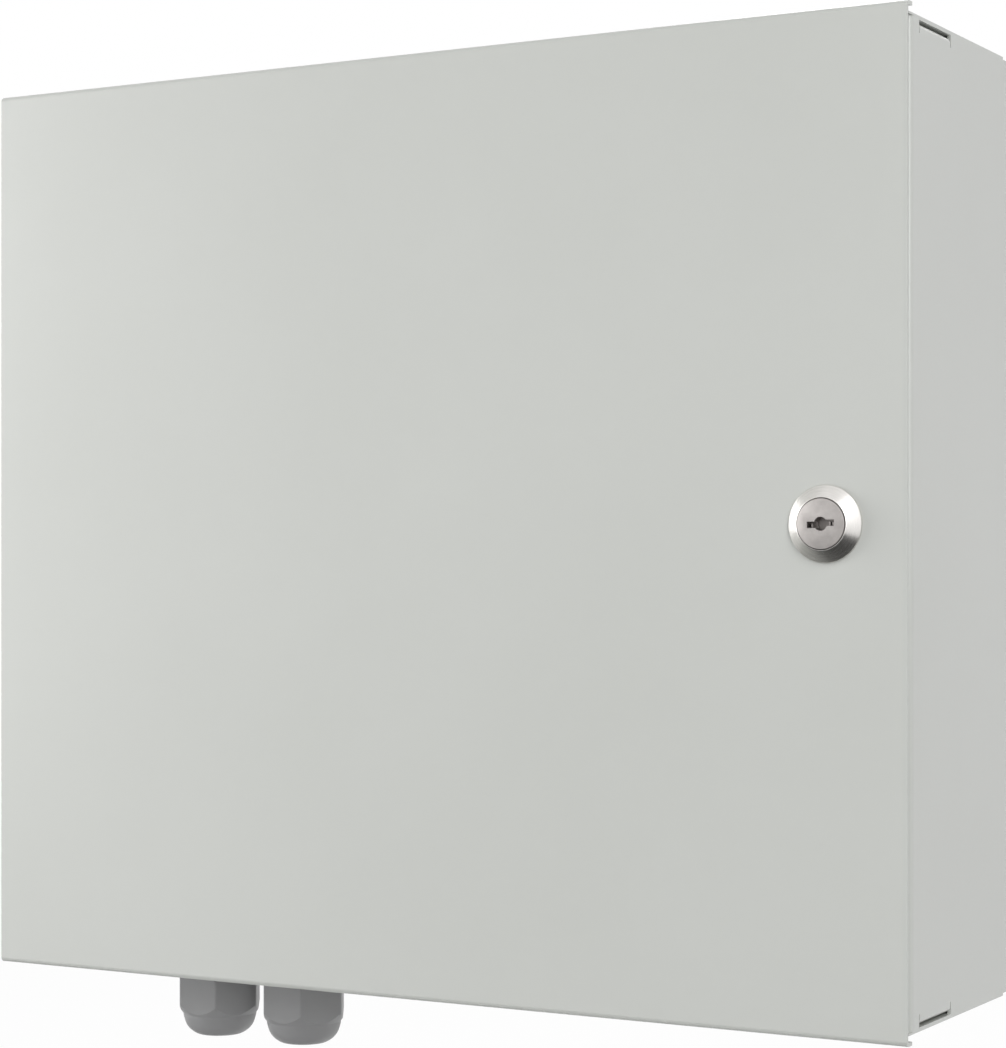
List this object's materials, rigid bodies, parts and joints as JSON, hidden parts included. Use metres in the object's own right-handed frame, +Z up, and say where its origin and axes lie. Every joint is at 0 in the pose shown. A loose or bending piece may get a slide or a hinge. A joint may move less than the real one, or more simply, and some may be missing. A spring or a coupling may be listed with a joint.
{
  "type": "fiber optic wall box",
  "caption": "Folded steel wall enclosure for splicing and patching optical fibre, with a hinged full-face door, a turning cam lock and cable glands below.",
  "frame": {"origin": "centre of the four wall-mounting holes, on the wall plane", "axes": "+Z up, +Y into the wall, the door faces -Y, +X to the right as seen from the front"},
  "size_m": [0.34, 0.0942, 0.3322],
  "materials": {
    "case_coat": "fine light-grey powder coat, satin",
    "door_coat": "fine light-grey powder coat, satin",
    "inner_coat": "fine light-grey powder coat, satin",
    "foam": "black closed-cell foam, matt",
    "lock_nickel": "satin nickel",
    "plug_nickel": "satin nickel with fine turning marks",
    "zinc": "bright zinc plate",
    "zinc_sheet": "zinc-plated sheet",
    "brass": "bright brass",
    "tray_plastic": "moulded, light grey",
    "comb_plastic": "moulded, black",
    "cover_plastic": "moulded, pale translucent grey",
    "adapter_plastic": "moulded, blue",
    "cap_rubber": "soft white cap",
    "guide_plastic": "moulded, black",
    "gland_plastic": "moulded polyamide, mid grey",
    "gland_rubber": "black rubber"
  },
  "bodies": {
    "case": {"dust_caps": "cap_rubber", "earth_stud": "brass", "foam_strips": "foam", "gland_bodies": "gland_plastic", "gland_dome_nuts": "gland_plastic", "gland_inserts": "gland_rubber", "gland_lock_nuts": "gland_plastic", "hinge_brackets": "zinc_sheet", "housing_body": "case_coat", "patch_adapters": "adapter_plastic", "patch_plate": "inner_coat", "slack_guides": "guide_plastic", "splice_holder": "comb_plastic", "splice_tray": "tray_plastic", "tie_bracket": "zinc_sheet", "tray_cover": "cover_plastic", "tray_spacers": "zinc", "wall_studs": "zinc"},
    "door": {"door_panel": "door_coat", "lock_housing": "lock_nickel", "lock_nut": "zinc", "hinge_arms": "zinc_sheet"},
    "lock": {"lock_plug": "plug_nickel", "lock_cam": "zinc", "cam_screw": "zinc"}
  },
  "joints": [
    {"name": "door_hinge", "type": "hinge", "parent": "case", "child": "door", "pos_m": [-0.1645, -0.0783, 0], "axis": [0, 0, -1], "range_deg": [0, 110]},
    {"name": "lock_turn", "type": "hinge", "parent": "door", "child": "lock", "pos_m": [0.1445, -0.09, 0], "axis": [0, -1, 0], "range_deg": [0, 90]}
  ]
}
